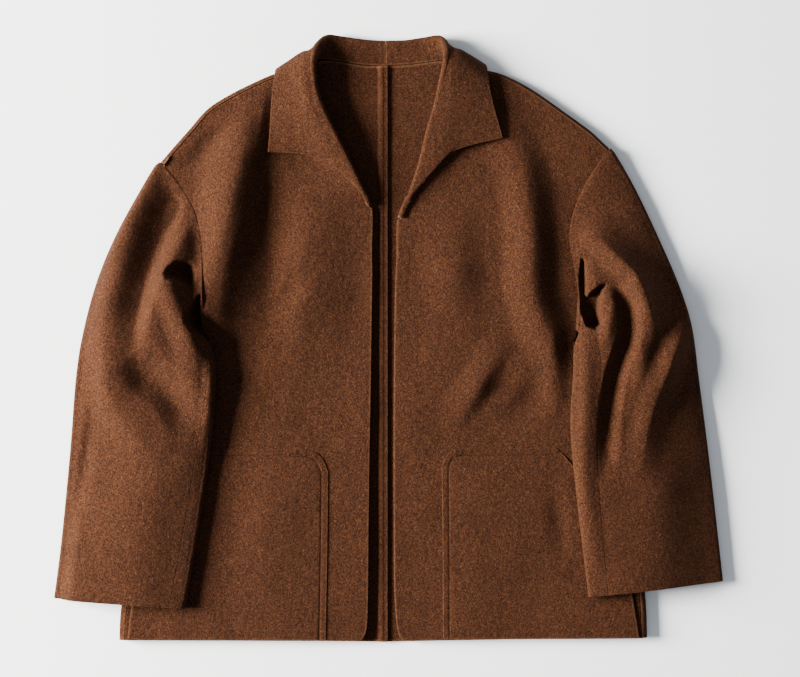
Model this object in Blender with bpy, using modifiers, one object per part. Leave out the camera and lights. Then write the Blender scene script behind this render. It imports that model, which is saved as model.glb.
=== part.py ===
# Open-fronted jacket of thick felted wool, laid out flat and face up.
# X runs across the jacket, Y runs from hem to collar, Z is up from the surface.
# The tables are in millimetres. Their first number is the distance out from the
# middle line, so one table serves a piece on either side of the jacket.
import bpy
import math
import numpy as np

MM = 0.001

# Driving sizes
WALL = 2.5
SEAM_GAP = 0.4
SIDE_GAP = 1.5
ARMHOLE_GAP = 0.9
UNDERARM_CLEAR = 3.0
LEVEL = 10.0
WRAP_RADIUS = LEVEL / 2
ROLL_RADIUS = 2.0
SIDE_SEAM_INSET = 6.0
SHOULDER_SEAM_INSET = 4.0
LEAF_COVER = 3.9
LEAF_COVER_START = 57.0
LEAF_COVER_RAMP = 45.0
LAP_EDGE = 1.1
LAP_UNDER = 9.0
LAP_CLEAR = 9.8
LAP_FOOT = 13.5
SLEEVE_EDGE = 10.0
SLEEVE_OVER_BODY = 13.7
SLEEVE_RAMP_START = 1.0
SLEEVE_RAMP = 17.0
SLEEVE_TOP_RAMP_START = -30.0
SLEEVE_TOP_RAMP = 105.0
SLEEVE_SWELL_POWER = 0.8
SLEEVE_HEAD_SEAM = 7.0
UNDERARM_STOP = 0.965
NECK_REACH = 55.0
BREAK_SECTION = 8
BULGE_SECTION = 6
SHOULDER_LEAF_SECTION = 7

# How far the folds of a front fade beside its edges and towards a sleeve
HEM_FOLD_SHARE = 0.55
HEM_FADE = 60.0
SIDE_FADE = 40.0
SLEEVE_SHADE_TOP = 20.0
SLEEVE_SHADE_FADE = 40.0
SLEEVE_EDGE_FADE = 26.0
FOLD_TAPER = 0.25
FOLD_END_SHARE = 0.25

# Where the back bends out to its shoulder and its side, and how far out the collar lifts it
BACK_BEND_SHARE = 0.45
SIDE_PULL_SHARE = 0.75
LEAF_COVER_OUTER = 150.0
LEAF_COVER_FADE = 28.0
ARMHOLE_FRONT_START = 12.0
SIGN = {"left": -1.0, "right": 1.0}

# Body outline seen from above, from the neck point out to the sleeve head
SHOULDER = {
    "left": ((82, 293), (102, 286), (123, 280), (141, 272.5), (167, 259.7), (192, 243.8),
             (212, 221.5), (227, 204.5), (242, 187)),
    "right": ((74, 296), (90, 289), (106, 284), (122, 279.5), (150, 265.7), (182, 243.8),
              (214, 220.5), (225, 210.5), (235, 201)),
}
# Armhole seam, from the sleeve head to the underarm
ARMHOLE = {
    "left": ((242, 187), (225, 167.5), (206.5, 138), (198.5, 107), (196, 74), (195.5, 40), (193.5, 0)),
    "right": ((235, 201), (213.5, 171), (198, 138), (192.5, 107), (197, 78), (202, 42), (199, 0)),
}
# Side edge, from the underarm to the hem
SIDE = {
    "left": ((193.5, 0), (237, -108), (269.8, -224.7), (283.6, -282), (286.3, -320.5)),
    "right": ((199, 0), (237, -108), (263.5, -219), (272.5, -269), (275, -318)),
}
# Front panel sections from hem to shoulder: outer end, guide line beside the
# front edge, and the front edge, which above the break is the centre of the roll
FRONT_SECTIONS = {
    #  outer y,  guide q, y,  edge q, y, z,  turn
    "left": (
        (-320.8, 57, -321.4, 29.0, -321.4, 10, 0),
        (-307, 52, -308, 23.6, -309, 10, 0),
        (-281, 50, -280, 22.0, -278, 10, 0),
        (-223, 50, -200, 21.2, -190, 10, 0),
        (-107, 48, -108, 20.0, -108, 10, 0),
        (-50, 48, -50, 19.0, -50, 10, 0),
        (0, 48, 10, 18.0, 20, 10, 0),
        (40, 52, 75, 17.6, 85, 10, 0),
        (82, 60, 139, 21.5, 139.5, 12, 0),
        (112, 70, 165, 30.0, 160, 13.5, 0),
        (138, 80, 190, 43.0, 187, 16, 0),
        (152, 88, 215, 56.7, 214, 19, 0),
        (167.5, 93, 240, 70.0, 241, 22, 4),
        (177, 89, 265, 77.6, 263, 24.5, 25),
    ),
    "right": (
        (-318.6, 42, -320.4, 16.4, -321.0, 10, 0),
        (-306, 38, -308, 9.8, -311, 10, 0),
        (-268, 34, -270, 6.5, -271, 10, 0),
        (-218, 33, -190, 5.6, -190, 10, 0),
        (-107, 33, -108, 5.4, -108, 10, 0),
        (-50, 34, -50, 5.6, -50, 10, 0),
        (0, 36, 10, 6.5, 20, 10, 0),
        (42, 40, 70, 8.2, 80, 10, 0),
        (68, 50, 125, 13.5, 127, 12, 0),
        (92, 62, 155, 24.5, 153, 13, 0),
        (118, 71, 185, 35.0, 184, 15, 0),
        (138, 79, 215, 43.5, 219, 17, 0),
        (156, 82, 240, 51.4, 246, 19, 4),
        (180, 78, 266, 57.0, 272, 21, 25),
    ),
}
# Neck sections from the shoulder to the centre back: neck seam and roll centre
NECK_SECTIONS = {
    #  seam q, y, z,  roll q, y, z,  turn
    "left": (
        (80.3, 289.0, 10.0, 80.0, 287, 26, 62),
        (77.0, 296.5, 8.5, 78.5, 298, 24.5, 95),
        (71.0, 298.3, 6.0, 75.0, 308.5, 19, 130),
        (62.0, 296.6, 4.8, 65.0, 317.9, 11, 160),
        (48.0, 294.2, 4.3, 50.0, 317.0, 6.2, 178),
        (25.0, 290.7, 4.3, 25.0, 313.6, 5.4, 180),
        (3.4, 290.3, 4.3, 3.4, 312.2, 5.4, 180),
    ),
    "right": (
        (71.8, 292.2, 10.0, 60.5, 290, 22.5, 62),
        (66.5, 297.0, 8.5, 61.5, 301, 21.5, 95),
        (60.0, 297.4, 6.0, 60.0, 310.5, 17, 130),
        (50.0, 295.6, 4.8, 53.5, 317.3, 11, 160),
        (36.0, 293.3, 4.3, 38.0, 315.8, 6.2, 178),
        (18.0, 291.2, 4.3, 18.0, 313.0, 5.4, 180),
        (-3.0, 290.3, 4.3, -3.0, 312.4, 5.4, 180),
    ),
}
# Collar leaf, a row for each section from its lower edge to the centre back:
# two points across the leaf and one on its outer edge
LEAF_SECTIONS = {
    "left": (
        (51.4, 174.3, 14.5, 84, 193.5, 12.8, 128.0, 197.2, 11.6),
        (58, 184, 16.0, 90, 202, 13.4, 127.2, 204, 11.7),
        (66, 199, 18.0, 94, 213, 14.5, 126.1, 215, 11.8),
        (76, 221, 20.5, 98, 229, 16.0, 125.0, 230, 12.0),
        (84, 243, 23.0, 102, 247, 17.5, 123.6, 247, 12.4),
        (89, 266, 25.0, 104, 266, 19.0, 122.0, 262, 13.2),
        (90, 288, 24.5, 103, 284, 18.5, 120.0, 275, 13.8),
        (91, 300.5, 16.5, 106, 291.5, 11.5, 117.8, 284.6, 6.5),
        (86, 300, 7.0, 99, 291, 4.0, 111.0, 280.5, 3.2),
        (70, 302, 3.4, 82, 290, 3.1, 92.0, 276, 3.0),
        (52, 301, 3.1, 56, 286, 3.0, 60.0, 270, 3.0),
        (25.5, 298, 3.0, 27, 283, 3.0, 28.0, 267, 3.0),
        (3.4, 297, 3.0, 3.4, 281, 3.0, 3.4, 265, 3.0),
    ),
    "right": (
        (36, 167.0, 14.6, 66, 197.0, 15.2, 120.7, 212.0, 15.0),
        (48, 180, 16.0, 76, 206, 16.2, 119.0, 218, 15.6),
        (56, 201, 17.5, 80, 216, 17.2, 116.6, 226, 16.0),
        (64, 226, 19.5, 83, 232, 18.6, 113.6, 236, 16.4),
        (67, 249, 21.4, 84, 250, 20.0, 110.4, 248, 16.6),
        (69, 273, 22.8, 85, 270, 20.6, 107.0, 262, 16.8),
        (72, 291, 22.4, 87, 286, 19.5, 104.6, 276, 16.0),
        (76, 302.5, 16.5, 90, 295.5, 11.5, 102.0, 288.6, 6.5),
        (72, 303, 7.0, 84, 293, 4.0, 96.0, 283.0, 3.2),
        (57, 302, 3.4, 68, 290, 3.1, 77.0, 277, 3.0),
        (40, 300, 3.1, 44, 286, 3.0, 47.0, 271, 3.0),
        (18, 298, 3.0, 19, 283, 3.0, 20.0, 267, 3.0),
        (-3.0, 297, 3.0, -3.0, 281, 3.0, -3.0, 265, 3.0),
    ),
}
# Back neck edge, from beside the centre seam to the neck point
BACK_NECK = {
    "left": ((13.5, 289.5), (25, 289.7), (48, 293.0), (62, 294.8), (72, 294.5), (82, 293)),
    "right": ((-4.0, 289.5), (18, 290.1), (36, 292.2), (50, 294.2), (63, 295.3), (74, 296)),
}
BACK_HEM = -323.0
BACK_NECK_CENTRE = 289.5
# Columns beside the centre seam, where the left back laps over the right one
LAP_COLUMNS = {
    "left": (LAP_EDGE, LAP_CLEAR, LAP_FOOT),
    "right": (-LAP_UNDER, -4.0),
}
# Sleeve rings from the armhole to the cuff
SLEEVE_RINGS = {
    #  outer q, y,  inner q, y,  bow,  puff,  seam from the inner edge
    "left": (
        (248.0, 183.5, 197.0, 5.5, 0.93, 2.0, 8),
        (263.4, 158, 195.5, 2.5, 0.72, 8.0, 9),
        (289, 111, 193.0, -1.0, 0.48, 13.0, 10),
        (309, 63.6, 188.5, -7.0, 0.28, 16.0, 11),
        (323.8, 10.6, 184.5, -17.0, 0.14, 17.0, 12),
        (332.3, -40.3, 181.9, -37.0, 0.05, 15.0, 12),
        (338.7, -120.8, 187.1, -108, 0.0, 11.0, 13),
        (347.7, -214, 201.9, -212, 0.0, 8.0, 15),
        (355.6, -276.1, 215.2, -285.7, 0.0, 6.0, 15),
    ),
    "right": (
        (240.1, 197.5, 201.8, 5.5, 0.93, 2.0, 8),
        (262.4, 158.5, 200.5, 2.5, 0.72, 8.0, 11),
        (288.3, 104, 199.0, -1.0, 0.48, 13.0, 16),
        (310.1, 53, 197.0, -6.0, 0.28, 16.0, 22),
        (322.8, 10.6, 195.6, -15, 0.14, 17.0, 27),
        (330.2, -44.5, 195.2, -36, 0.05, 15.0, 29),
        (339.7, -118.7, 192.4, -98, 0.0, 11.0, 28),
        (349.3, -201.4, 199.8, -177, 0.0, 8.0, 24),
        (355.6, -258.1, 211.5, -273.5, 0.0, 6.0, 20),
    ),
}
# Patch pocket sections from hem to mouth: inner and outer edge
POCKET_SECTIONS = {
    #  inner q, y,  outer q, y
    "left": (
        (66.8, -320.2, 277.0, -319.8),
        (65.2, -233, 262.5, -233),
        (64.3, -152, 220.0, -158),
        (67.0, -137, 204.0, -139),
        (75.5, -125, 190.5, -124),
        (90.0, -118.6, 181.0, -117.4),
    ),
    "right": (
        (57.8, -319.6, 265.5, -317.6),
        (57.6, -233, 250.0, -238),
        (56.7, -158, 213.5, -166),
        (58.6, -134, 195.0, -136),
        (62.5, -124, 185.5, -123.5),
        (70.5, -118.2, 176.5, -116.5),
    ),
}
# Largest folds of the front panels: line, reach on either side and height
FRONT_FOLDS = {
    "left": (
        (((146, 212), (172, 160), (178, 118), (188, 96)), 26, 7.0),
        (((96, 120), (84, 30), (92, -60)), 60, 4.5),
        (((150, 20), (128, -60), (120, -96)), 38, 3.5),
    ),
    "right": (
        (((118, 195), (139, 125), (140, 45), (172, -22), (186, -75)), 30, 7.5),
        (((60, 120), (52, 20), (60, -70)), 44, 4.5),
        (((108, -10), (66, -84)), 30, 4.5),
    ),
}
# Largest folds of the sleeves
SLEEVE_FOLDS = {
    "left": (
        (((206, 130), (226, 104), (242, 76), (253, 48), (262, 24)), 17, 9.0),
        (((271, 84), (294, 48), (299, 10), (298, -28), (286, -76), (260, -98)), 20, 8.0),
        (((200, 44), (212, 30), (214, 10), (200, -8)), 13, 11.0),
        (((190, -30), (194, -100), (206, -180)), 15, 3.0),
    ),
    "right": (
        (((221, 107), (250, 79), (261, 67), (273, 39), (283, 4), (288, -6)), 17, 11.0),
        (((316, 22), (305, -10), (299, -30)), 17, 8.0),
        (((210, 46), (236, 58), (252, 40), (256, 2), (246, -36)), 15, 9.0),
        (((198, -20), (196, -90), (203, -170)), 16, 3.5),
    ),
}
CLOTH_COLOUR = (0.155, 0.060, 0.027, 1.0)

# Mesh steps
FRONT_ROWS_PER_SECTION = 2
PANEL_STEPS = 11
GUIDE_STEPS = 3
ROLL_ANGLES = (-45.0, 0.0, 45.0)
LEAF_STEPS = 6
BACK_ROWS = 23
NECK_STEPS = 3
WRAP_ANGLES = (45.0, 90.0, 135.0, 180.0)
RING_ROWS_PER_SECTION = 2
RING_FLAT_STEPS = 10
RING_TOP_STEPS = 13
RING_END_STEPS = 4
RING_SEAM_STEPS = 2
POCKET_ROWS = 10
POCKET_STEPS = 9
CURVE_POINTS_PER_PLACE = 20
DISTANCE_POINTS = 41
OUTLINE_POINTS = 60


def smooth_rows(table, rows):
    """Rows of a table, read at fractional row numbers on a smooth curve."""
    table = np.asarray(table, float)
    rows = np.clip(np.asarray(rows, float), 0, len(table) - 1)
    start = np.minimum(rows.astype(int), len(table) - 2)
    part = (rows - start)[:, None]
    before = table[np.maximum(start - 1, 0)]
    here = table[start]
    after = table[start + 1]
    beyond = table[np.minimum(start + 2, len(table) - 1)]
    leave = (after - before) / 2
    arrive = (beyond - here) / 2
    square = part * part
    cube = square * part
    return (here * (2 * cube - 3 * square + 1) + leave * (cube - 2 * square + part)
            + after * (3 * square - 2 * cube) + arrive * (cube - square))


def along(points, fractions):
    """Points at fractions of the length of a smooth line."""
    points = np.asarray(points, float)
    fine = smooth_rows(points, np.linspace(0, len(points) - 1, CURVE_POINTS_PER_PLACE * len(points)))
    steps = np.linalg.norm(np.diff(fine, axis=0), axis=1)
    travelled = np.concatenate(([0.0], np.cumsum(steps)))
    wanted = np.asarray(fractions, float) * travelled[-1]
    return np.stack([np.interp(wanted, travelled, column) for column in fine.T], axis=1)


def ease(value):
    """A soft step from 0 to 1."""
    value = np.clip(value, 0.0, 1.0)
    return value * value * (3 - 2 * value)


def distance_to_line(q, y, points):
    """Distance of each place to a line, and how far along the line it is."""
    line = along(points, np.linspace(0, 1, DISTANCE_POINTS))
    gap = np.hypot(q[..., None] - line[:, 0], y[..., None] - line[:, 1])
    nearest = gap.argmin(axis=-1)
    return gap.min(axis=-1), nearest / (DISTANCE_POINTS - 1)


def fold_height(q, y, folds):
    """Height that soft folds add at each place."""
    height = np.zeros_like(q)
    for points, reach, rise in folds:
        gap, place = distance_to_line(q, y, points)
        taper = ease(place / FOLD_TAPER) * ease((1 - place) / FOLD_TAPER)
        height += rise * ease(1 - gap / reach) * (FOLD_END_SHARE + (1 - FOLD_END_SHARE) * taper)
    return height


def inside_sleeve_edge(side, q, y):
    """1 where a front panel lies bare, falling to 0 before the sleeve covers it."""
    rings = np.asarray(SLEEVE_RINGS[side])
    edge_q = np.interp(-y, -rings[:, 3], rings[:, 2])
    below = ease((SLEEVE_SHADE_TOP - y) / SLEEVE_SHADE_FADE)
    return 1 - below * ease((q - edge_q + SLEEVE_EDGE_FADE) / SLEEVE_EDGE_FADE)


def front_height(side, q, y):
    """Height of the outer face of a front panel."""
    sections = np.asarray(FRONT_SECTIONS[side])[BREAK_SECTION:]
    gap = distance_to_line(q, y, sections[:, 3:5])[0]
    roll_height = np.interp(y, sections[:, 4], sections[:, 5]) - ROLL_RADIUS - LEVEL
    neck = np.where(y > sections[0, 4], roll_height, 0.0) * np.clip(1 - gap / NECK_REACH, 0, 1) ** 2
    folds = fold_height(q, y, FRONT_FOLDS[side]) * inside_sleeve_edge(side, q, y)
    side_gap = distance_to_line(q, y, SIDE[side])[0]
    hem = HEM_FOLD_SHARE + (1 - HEM_FOLD_SHARE) * ease((y - BACK_HEM) / HEM_FADE)
    return LEVEL + neck + folds * ease(side_gap / SIDE_FADE) * hem


def inset_line(points, inset, fractions):
    """A line moved to its right-hand side, as seen while walking along it."""
    places = along(points, fractions)
    ahead = np.gradient(places, axis=0)
    ahead /= np.linalg.norm(ahead, axis=1)[:, None]
    return places + inset * np.stack([ahead[:, 1], -ahead[:, 0]], axis=1)


def front_outline(side, heights):
    """Outer edge of a front panel, at the side seam and the armhole seam."""
    seam = inset_line(SIDE[side][::-1], -SIDE_SEAM_INSET - SIDE_GAP, np.linspace(0, 1, OUTLINE_POINTS))
    seam = seam[seam[:, 1] < -UNDERARM_CLEAR]
    armhole = along(ARMHOLE[side][::-1], np.linspace(0, 1, OUTLINE_POINTS))
    corner = [[seam[-1, 0] - 2 * SIDE_GAP, 0.0]]
    outline = np.vstack([seam, corner, armhole[armhole[:, 1] > ARMHOLE_FRONT_START]])
    return np.stack([np.interp(heights, outline[:, 1], outline[:, 0]), heights], axis=1)


def front_grid(side):
    """Outer face of a front panel and its half of the collar, cut in one."""
    neck = np.asarray(NECK_SECTIONS[side], float)
    body = np.asarray(FRONT_SECTIONS[side], float)
    shoulder_row = len(body) * FRONT_ROWS_PER_SECTION
    break_row = BREAK_SECTION * FRONT_ROWS_PER_SECTION
    bulge_row = BULGE_SECTION * FRONT_ROWS_PER_SECTION
    fractions = np.linspace(0, 1, PANEL_STEPS + 1)
    seam = inset_line(SHOULDER[side][::-1], -SHOULDER_SEAM_INSET - SIDE_GAP, fractions)
    seam[-1] = neck[0, :2]
    joined = np.vstack([body, [[seam[0, 1], *neck[0, :2], *neck[0, 3:7]]]])
    edges = np.vstack([body[:, 3:7], neck[:, 3:7]])
    last = len(edges) - 1
    rows = np.linspace(0, last, last * FRONT_ROWS_PER_SECTION + 1)
    edge = smooth_rows(edges, rows)
    bulge = seam - (seam[0] + (seam[-1] - seam[0]) * fractions[:, None])

    ahead = np.gradient(edge[:, :2], axis=0)
    ahead /= np.linalg.norm(ahead, axis=1)[:, None]
    outward = np.stack([ahead[:, 1], -ahead[:, 0], np.zeros(len(rows))], axis=1)
    up = np.array([0.0, 0.0, 1.0])
    turn = np.radians(edge[:, 3])[:, None]
    across = np.cos(turn) * up + np.sin(turn) * outward
    tip_way = -np.cos(turn) * outward + np.sin(turn) * up

    guides = np.zeros((len(rows), 3))
    low = smooth_rows(joined[:, 1:3], rows[:shoulder_row + 1])
    guides[:shoulder_row + 1, :2] = low
    guides[:shoulder_row + 1, 2] = front_height(side, low[:, 0], low[:, 1])
    guides[shoulder_row:] = smooth_rows(neck[:, :3], rows[shoulder_row:] - len(body))
    outer = front_outline(side, smooth_rows(joined[:, 0:1], rows[:shoulder_row + 1])[:, 0])
    outer[-1] = seam[0]

    grid = []
    for number in range(len(rows)):
        line = []
        if number <= shoulder_row:
            rise = ease((number - bulge_row) / (shoulder_row - bulge_row))
            plan = outer[number] + (guides[number, :2] - outer[number]) * fractions[:, None] + bulge * rise
            height = front_height(side, plan[:, 0], plan[:, 1])
            if number == shoulder_row:
                height[:] = LEVEL
            line += [(*place, tall) for place, tall in zip(plan[:-1], height[:-1])]
        else:
            line += [None] * PANEL_STEPS
        centre = edge[number, :3]
        folded = number >= break_row
        end = centre - ROLL_RADIUS * across[number] if folded else np.array([*centre[:2], 0])
        start = guides[number]
        if not folded:
            end[2] = front_height(side, end[None, 0], end[None, 1])[0]
        for step in range(GUIDE_STEPS + 1):
            line.append(tuple(start + (end - start) * step / GUIDE_STEPS))
        if folded:
            for angle in np.radians(ROLL_ANGLES):
                line.append(tuple(centre + ROLL_RADIUS * (np.sin(angle) * across[number]
                                                          + np.cos(angle) * tip_way[number])))
            row = rows[number] - BREAK_SECTION
            leaf = smooth_rows(LEAF_SECTIONS[side], [row])[0].reshape(3, 3)
            first = centre + ROLL_RADIUS * across[number]
            route = np.vstack([first, leaf])
            line += [tuple(place) for place in along(route, np.linspace(0, 1, LEAF_STEPS + 1))]
        else:
            line += [None] * (len(ROLL_ANGLES) + LEAF_STEPS + 1)
        grid.append(line)
    return grid


def back_base(side, q, y):
    """Height of the underside of a back panel, which passes over the collar leaf."""
    leaf = np.asarray(LEAF_SECTIONS[side])[SHOULDER_LEAF_SECTION:]
    edge_y = np.interp(q, leaf[::-1, 6], leaf[::-1, 7])
    outer = ease((LEAF_COVER_OUTER - q) / LEAF_COVER_FADE)
    return LEAF_COVER * ease((y - edge_y + LEAF_COVER_START) / LEAF_COVER_RAMP) * outer


def back_outline(side):
    """Ends of the rows of a back panel, and its neck and shoulder edge."""
    side_rows = BACK_ROWS // 2 + 1
    low = along(SIDE[side][::-1], np.linspace(0, 1, side_rows))
    high = along(ARMHOLE[side][::-1], np.linspace(0, 1, BACK_ROWS - side_rows + 2))[1:]
    outer = np.vstack([low, high])
    middle = np.linspace(BACK_HEM, BACK_NECK_CENTRE, len(outer))
    shoulder = along(SHOULDER[side], np.linspace(0, 1, PANEL_STEPS + 1))
    neck = along(BACK_NECK[side], np.linspace(0, 1, NECK_STEPS + 1))[:-1]
    return outer, middle, np.vstack([neck, shoulder]), side_rows


def lap(side, q):
    """Height of the lapped seam down the middle of the back."""
    if side == "right":
        return np.zeros_like(q)
    return (WALL + SEAM_GAP) * np.clip((LAP_FOOT - q) / (LAP_FOOT - LAP_CLEAR), 0, 1)


def back_surface(side):
    """Outer face of a back panel, which rounds the side and the shoulder."""
    outer, middle, top, side_rows = back_outline(side)
    starts = LAP_COLUMNS[side]
    fractions = np.linspace(0, 1, len(top))
    bulge = top - (top[0] + (top[-1] - top[0]) * fractions[:, None])
    turned = np.radians(WRAP_ANGLES)
    away_top = top_directions(top)
    last = len(outer) - 1
    grid = []
    for number, end in enumerate(outer):
        share = ease((number / last - BACK_BEND_SHARE) / (1 - BACK_BEND_SHARE))
        start = np.array([starts[-1], middle[number]])
        plan = start + (end - start) * fractions[:, None] + bulge * share
        away = outer_direction(outer, number)
        if number < side_rows:
            pull = ease((fractions - SIDE_PULL_SHARE) / (1 - SIDE_PULL_SHARE))
            plan -= pull[:, None] * WRAP_RADIUS * away
        if number == last:
            plan = top.copy()
            plan[NECK_STEPS:] -= WRAP_RADIUS * away_top[NECK_STEPS:]
        inner = np.stack([np.array(starts[:-1]), np.full(len(starts) - 1, middle[number])], axis=1)
        plan = np.vstack([inner, plan])
        height = back_base(side, plan[:, 0], plan[:, 1]) + lap(side, plan[:, 0])
        line = [(*place, tall) for place, tall in zip(plan, height)]
        for angle, reach in zip(turned, wrap_reaches(SIDE_SEAM_INSET)):
            place = plan[-1] + away * reach
            line.append((*place, WRAP_RADIUS * (1 - np.cos(angle))) if number < side_rows else None)
        grid.append(line)
    first = len(starts) - 1 + NECK_STEPS
    edge = np.array(grid[-1][first:first + PANEL_STEPS + 1])
    away = away_top[NECK_STEPS:]
    for angle, reach in zip(turned, wrap_reaches(SHOULDER_SEAM_INSET)):
        plan = edge[:, :2] + away * reach
        height = edge[:, 2] + (LEVEL - edge[:, 2]) / 2 * (1 - np.cos(angle))
        line = [None] * first + [(*place, tall) for place, tall in zip(plan, height)]
        grid.append(line + [None] * len(turned))
    return grid


def wrap_reaches(inset):
    """How far out each step of a wrapped edge lies, with the last at the seam."""
    reaches = [WRAP_RADIUS * math.sin(math.radians(angle)) for angle in WRAP_ANGLES]
    return reaches[:-1] + [WRAP_RADIUS - inset]


def outer_direction(outer, number):
    """Level direction out of the panel's side edge."""
    ahead = outer[min(number + 1, len(outer) - 1)] - outer[max(number - 1, 0)]
    ahead = ahead / np.linalg.norm(ahead)
    return np.array([ahead[1], -ahead[0]])


def top_directions(top):
    """Level directions out of the panel's top edge."""
    ahead = np.gradient(top, axis=0)
    ahead /= np.linalg.norm(ahead, axis=1)[:, None]
    return np.stack([-ahead[:, 1], ahead[:, 0]], axis=1)


def sleeve_base(side, q, y, level):
    """Height that the body adds to a sleeve: a short ramp underneath and a long one on top."""
    gap = distance_to_line(q, y, SIDE[side])[0]
    edge = np.asarray(SIDE[side])
    edge_q = np.interp(-y, -edge[:, 1], edge[:, 0])
    outside = np.where((q > edge_q) | (y > 0), gap, -gap)
    under = 1 - ease((outside - SLEEVE_RAMP_START) / SLEEVE_RAMP)
    over = 1 - ease((outside - SLEEVE_TOP_RAMP_START) / SLEEVE_TOP_RAMP)
    return SLEEVE_OVER_BODY * (under + (over - under) * level)


def sleeve_grid(side):
    """Outer face of a sleeve, open along its underarm seam."""
    armhole = inset_line(ARMHOLE[side], -ARMHOLE_GAP, np.linspace(0, UNDERARM_STOP, OUTLINE_POINTS))
    head = armhole[0]
    foot = armhole[-1]
    table = np.vstack([[(*head, *foot, 1.0, 0.0, SLEEVE_HEAD_SEAM)], SLEEVE_RINGS[side]])
    rows = np.linspace(0, len(table) - 1, (len(table) - 1) * RING_ROWS_PER_SECTION + 1)
    grid = []
    radius = SLEEVE_EDGE / 2
    for ring in smooth_rows(table, rows):
        outer = ring[0:2]
        inner = ring[2:4]
        length = np.linalg.norm(inner - outer)
        bow, puff, seam = ring[4:7]
        level = []
        top_end = length - seam
        for step in range(RING_SEAM_STEPS + 1):
            level.append((top_end + (seam - radius) * step / RING_SEAM_STEPS, 1.0, 1.0))
        for step in range(1, RING_END_STEPS):
            angle = math.pi * step / RING_END_STEPS
            level.append((length - radius + radius * math.sin(angle), (1 + math.cos(angle)) / 2, 1.0))
        for step in range(RING_FLAT_STEPS + 1):
            level.append((length - radius - (length - 2 * radius) * step / RING_FLAT_STEPS, 0.0, 0.0))
        for step in range(1, RING_END_STEPS):
            angle = math.pi * step / RING_END_STEPS
            level.append((radius - radius * math.sin(angle), (1 - math.cos(angle)) / 2, 1.0))
        for step in range(RING_TOP_STEPS + 1):
            level.append((radius + (top_end - SEAM_GAP - radius) * step / RING_TOP_STEPS, 1.0, 1.0))
        level = np.array(level)
        share = np.clip(level[:, 0] / length, 0, 1)
        plan = outer + (inner - outer) * (level[:, 0] / length)[:, None]
        curve = along(armhole, share)
        chord = head + (foot - head) * share[:, None]
        plan = plan + bow * (curve - chord)
        low = sleeve_base(side, plan[:, 0], plan[:, 1], level[:, 1])
        across = np.clip((level[:, 0] - radius) / (length - 2 * radius), 0, 1)
        swell = puff * np.sin(np.pi * across) ** SLEEVE_SWELL_POWER
        folds = fold_height(plan[:, 0], plan[:, 1], SLEEVE_FOLDS[side])
        height = low + level[:, 1] * SLEEVE_EDGE + (level[:, 1] == 1.0) * (swell + folds)
        grid.append([(*place, tall) for place, tall in zip(plan, height)])
    return grid


def pocket_grid(side):
    """Underside of a patch pocket, a little above its front panel."""
    grid = []
    last = len(POCKET_SECTIONS[side]) - 1
    for section in smooth_rows(POCKET_SECTIONS[side], np.linspace(0, last, POCKET_ROWS + 1)):
        share = np.linspace(0, 1, POCKET_STEPS + 1)[:, None]
        plan = section[0:2] + (section[2:4] - section[0:2]) * share
        height = front_height(side, plan[:, 0], plan[:, 1]) + SEAM_GAP
        grid.append([(*place, tall) for place, tall in zip(plan, height)])
    return grid


def cloth_material(name):
    material = bpy.data.materials.new(name)
    material.use_nodes = True
    shader = material.node_tree.nodes["Principled BSDF"]
    shader.inputs["Base Color"].default_value = CLOTH_COLOUR
    shader.inputs["Roughness"].default_value = 0.95
    shader.inputs["Metallic"].default_value = 0.0
    shader.inputs["Sheen Weight"].default_value = 0.3
    return material


def cloth_piece(name, side, grid, collection, outward, thickness_side=-1.0):
    """A piece of cloth: an open surface with a wall's thickness on one side."""
    vertices = []
    index = {}
    for row, line in enumerate(grid):
        for column, place in enumerate(line):
            if place is not None:
                index[row, column] = len(vertices)
                q, y, z = place
                vertices.append((SIGN[side] * q * MM, y * MM, z * MM))
    faces = []
    for row in range(len(grid) - 1):
        for column in range(len(grid[0]) - 1):
            corners = [(row, column), (row, column + 1), (row + 1, column + 1), (row + 1, column)]
            if all(corner in index for corner in corners):
                face = [index[corner] for corner in corners]
                faces.append(face if outward * SIGN[side] > 0 else face[::-1])
    mesh = bpy.data.meshes.new(name)
    mesh.from_pydata(vertices, [], faces)
    mesh.shade_smooth()
    mesh.materials.append(cloth_material(name + "_wool"))
    piece = bpy.data.objects.new(name, mesh)
    collection.objects.link(piece)
    wall = piece.modifiers.new("wall", "SOLIDIFY")
    wall.thickness = WALL * MM
    wall.offset = thickness_side
    return piece


def clear_scene():
    for piece in list(bpy.data.objects):
        bpy.data.objects.remove(piece, do_unlink=True)


def main():
    clear_scene()
    collection = bpy.data.collections.new("wool_jacket")
    bpy.context.scene.collection.children.link(collection)
    for side in ("left", "right"):
        cloth_piece("front_" + side, side, front_grid(side), collection, outward=-1)
        cloth_piece("back_" + side, side, back_surface(side), collection, outward=-1)
        cloth_piece("sleeve_" + side, side, sleeve_grid(side), collection, outward=1)
        cloth_piece("pocket_" + side, side, pocket_grid(side), collection, outward=1, thickness_side=1.0)


main()
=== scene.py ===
import bpy
import math
import numpy as np
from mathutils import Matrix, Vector, noise


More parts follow.
